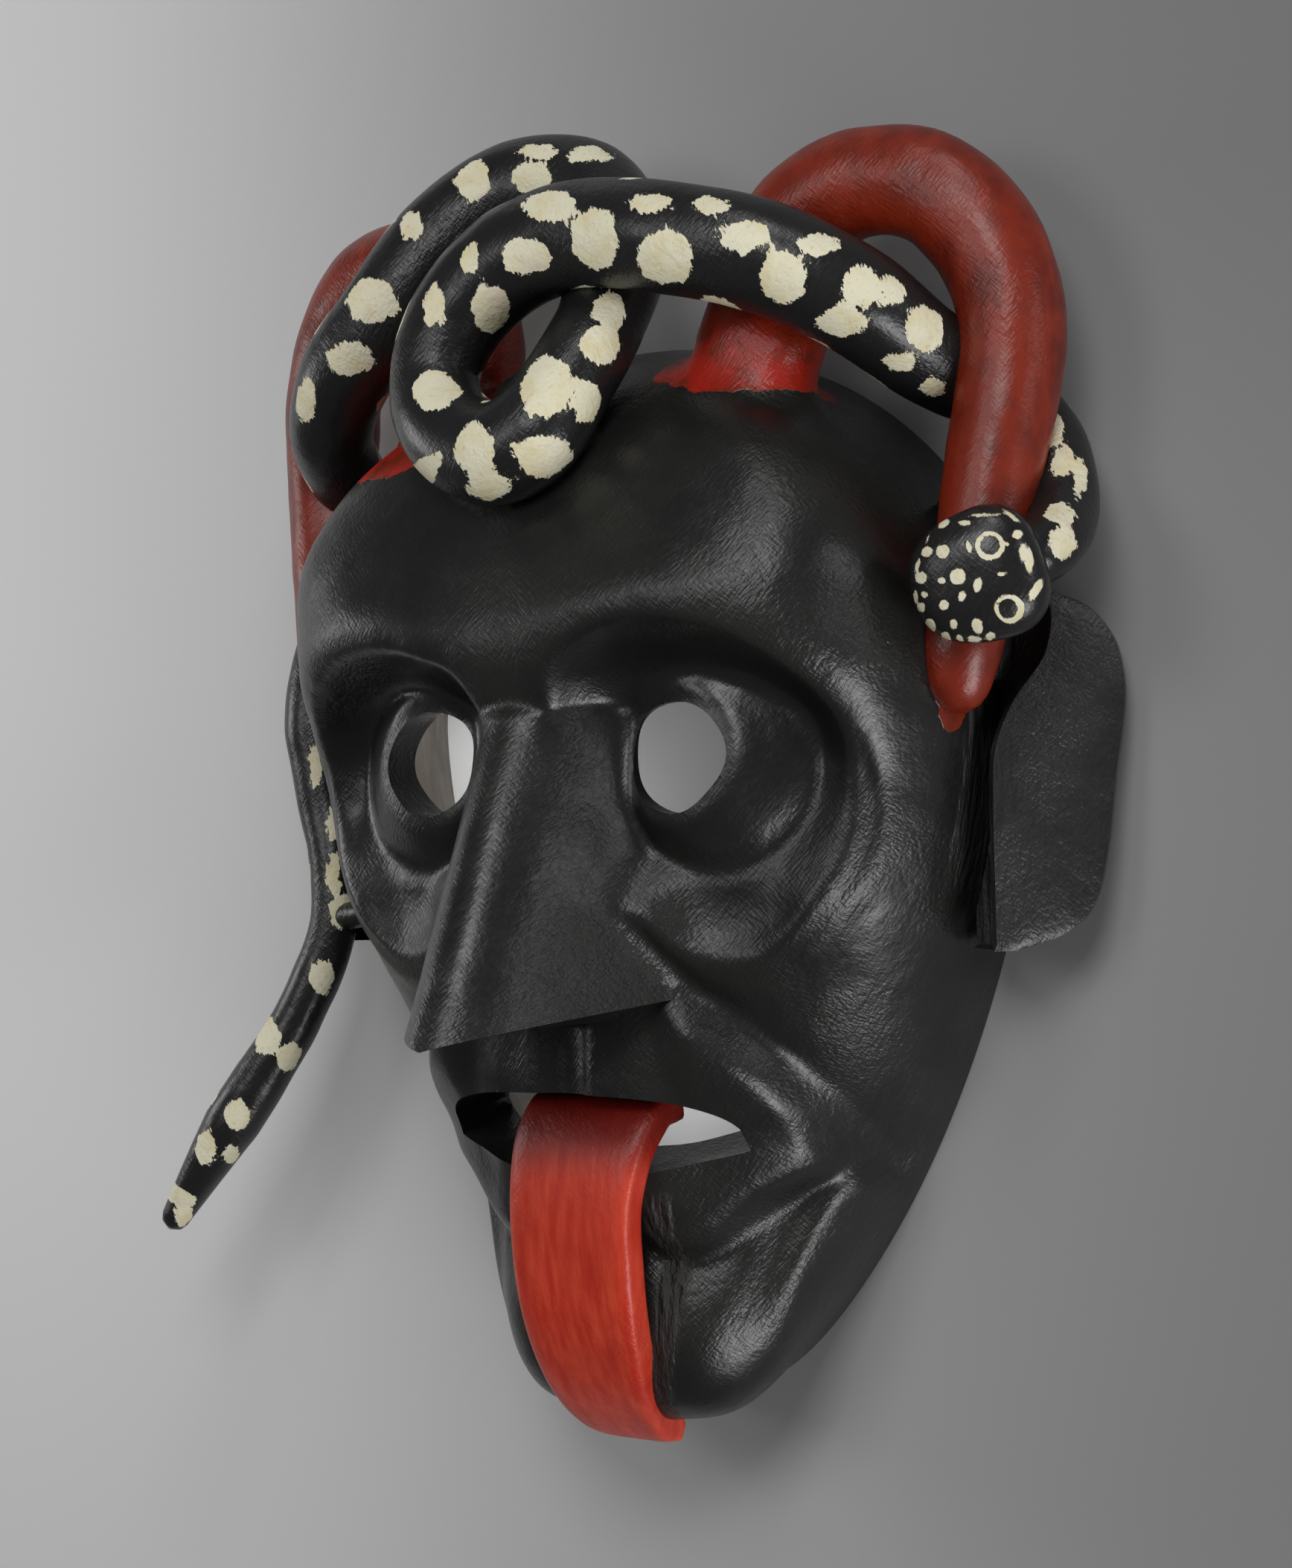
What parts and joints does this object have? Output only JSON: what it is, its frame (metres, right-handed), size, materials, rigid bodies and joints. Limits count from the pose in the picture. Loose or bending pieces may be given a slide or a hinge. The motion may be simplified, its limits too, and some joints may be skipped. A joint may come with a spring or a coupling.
{
  "type": "portuguese carnival mask",
  "caption": "Carved wooden carnival mask with hooked horns, a spotted snake wound round them, pyramid nose, round eye holes, arched mouth and long tongue, hollow behind",
  "frame": {"origin": "below the middle of the mask's bounding box, on the plane of the rim that it lies on", "axes": "the mask lies on its back: +Z out of the face, +Y up the face from chin to forehead, +X to the viewer's right as the face is looked at"},
  "size_m": [0.2601, 0.3153, 0.118],
  "materials": {
    "painted_wood": "satin black paint on carved wood, with brick red horns, a red tongue and a black snake with cream spots"
  },
  "bodies": {
    "root": {"mask": "painted_wood"}
  },
  "joints": []
}
